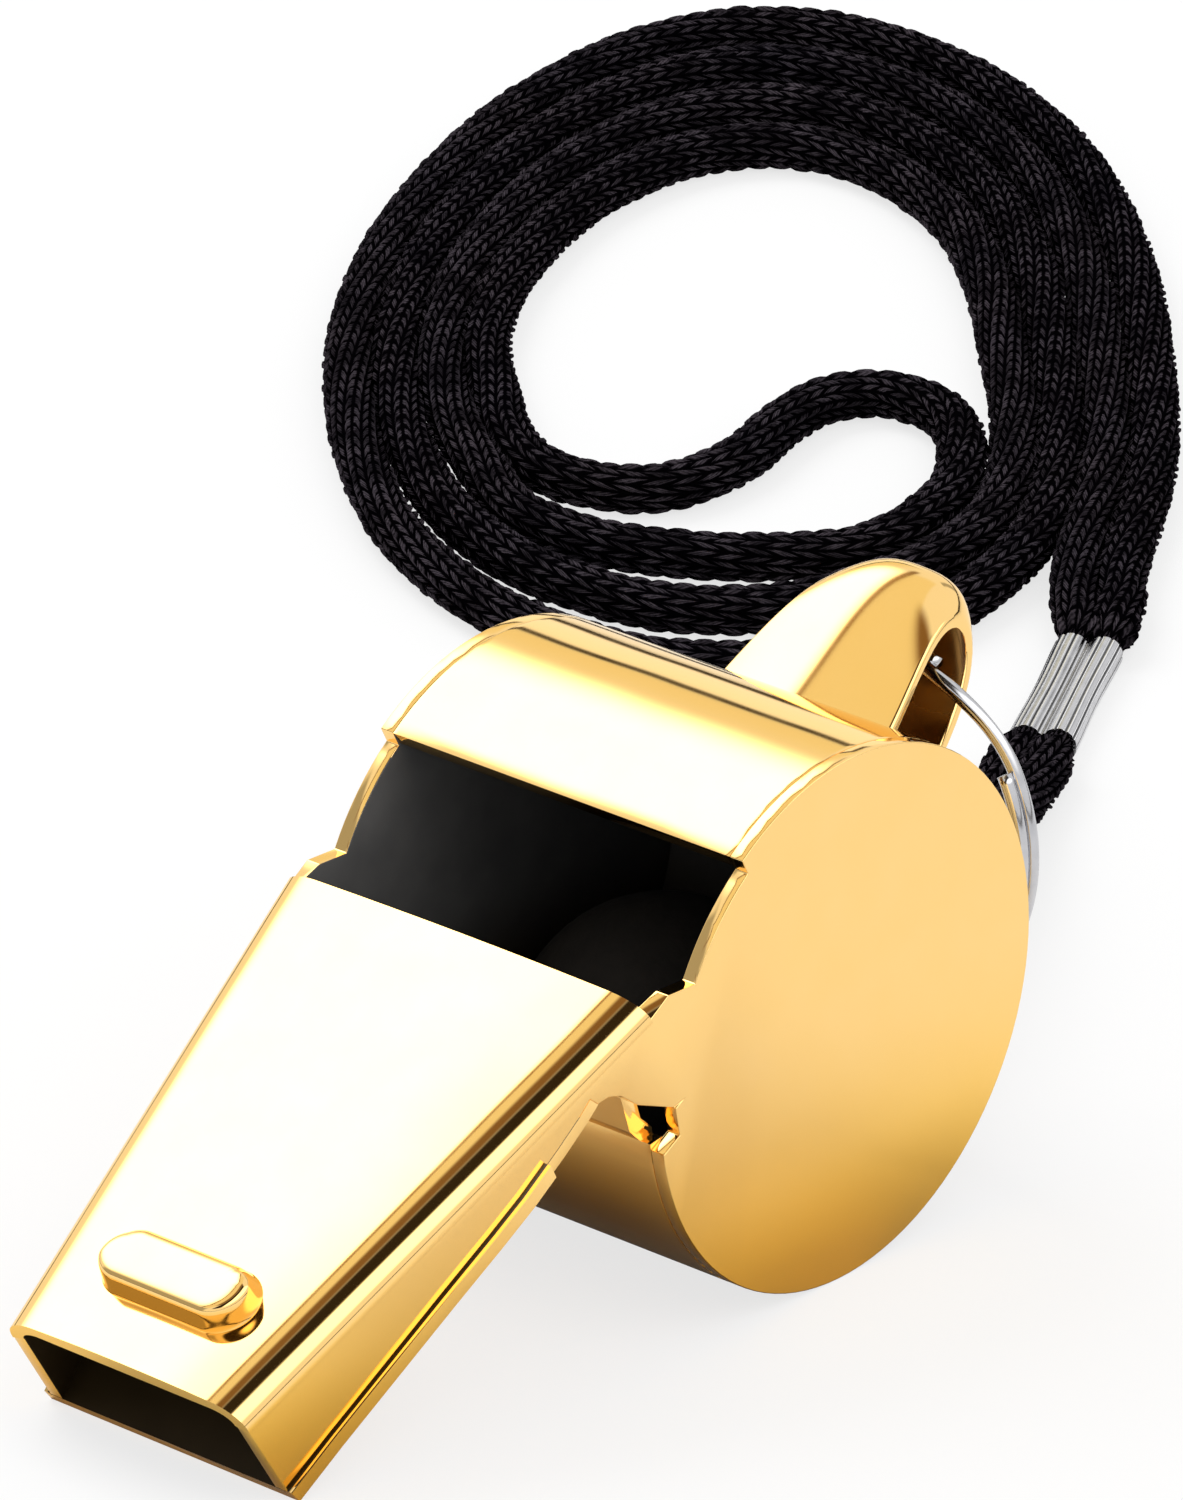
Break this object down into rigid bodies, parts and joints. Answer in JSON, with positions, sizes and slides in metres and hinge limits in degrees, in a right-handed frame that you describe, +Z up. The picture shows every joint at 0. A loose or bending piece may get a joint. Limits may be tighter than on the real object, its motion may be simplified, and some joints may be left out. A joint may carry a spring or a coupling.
{
  "type": "pea whistle with lanyard",
  "caption": "Sheet-metal sports whistle with a round barrel, tapered mouthpiece and loose ball, a rear eye with a split ring, and a knitted lanyard coiled behind it.",
  "frame": {"origin": "on the ground, under the middle of the whistle's own box (without the lanyard)", "axes": "+Z up as the whistle lies; the mouthpiece points toward -X and down, the rear eye and the lanyard toward +X; the barrel's axis is along Y"},
  "size_m": [0.1333, 0.0896, 0.0223],
  "materials": {
    "plate": "polished gold plate",
    "steel": "bright nickel plate",
    "cork": "matt cork",
    "cord": "knitted cord"
  },
  "bodies": {
    "whistle": {"cheek_near": "plate", "cheek_far": "plate", "top_plate": "plate", "tooth_bead": "plate", "floor_plate": "plate", "barrel_band": "plate", "lanyard_ear": "plate", "ferrule": "steel", "lanyard_eye": "cord", "lanyard_tails": "cord", "lanyard_coil": "cord"},
    "ring": {"split_ring": "steel"},
    "ball": {"pea": "cork"}
  },
  "joints": [
    {"name": "ring_swing", "type": "hinge", "parent": "whistle", "child": "ring", "pos_m": [0.02042, 0, 0.02011], "axis": [0, -1, 0], "range_deg": [-2, 110], "deforming": ["lanyard_eye"]},
    {"name": "ball_roll", "type": "hinge", "parent": "whistle", "child": "ball", "pos_m": [0.00775, 0, 0.011], "axis": [0, 1, 0], "continuous": true}
  ]
}
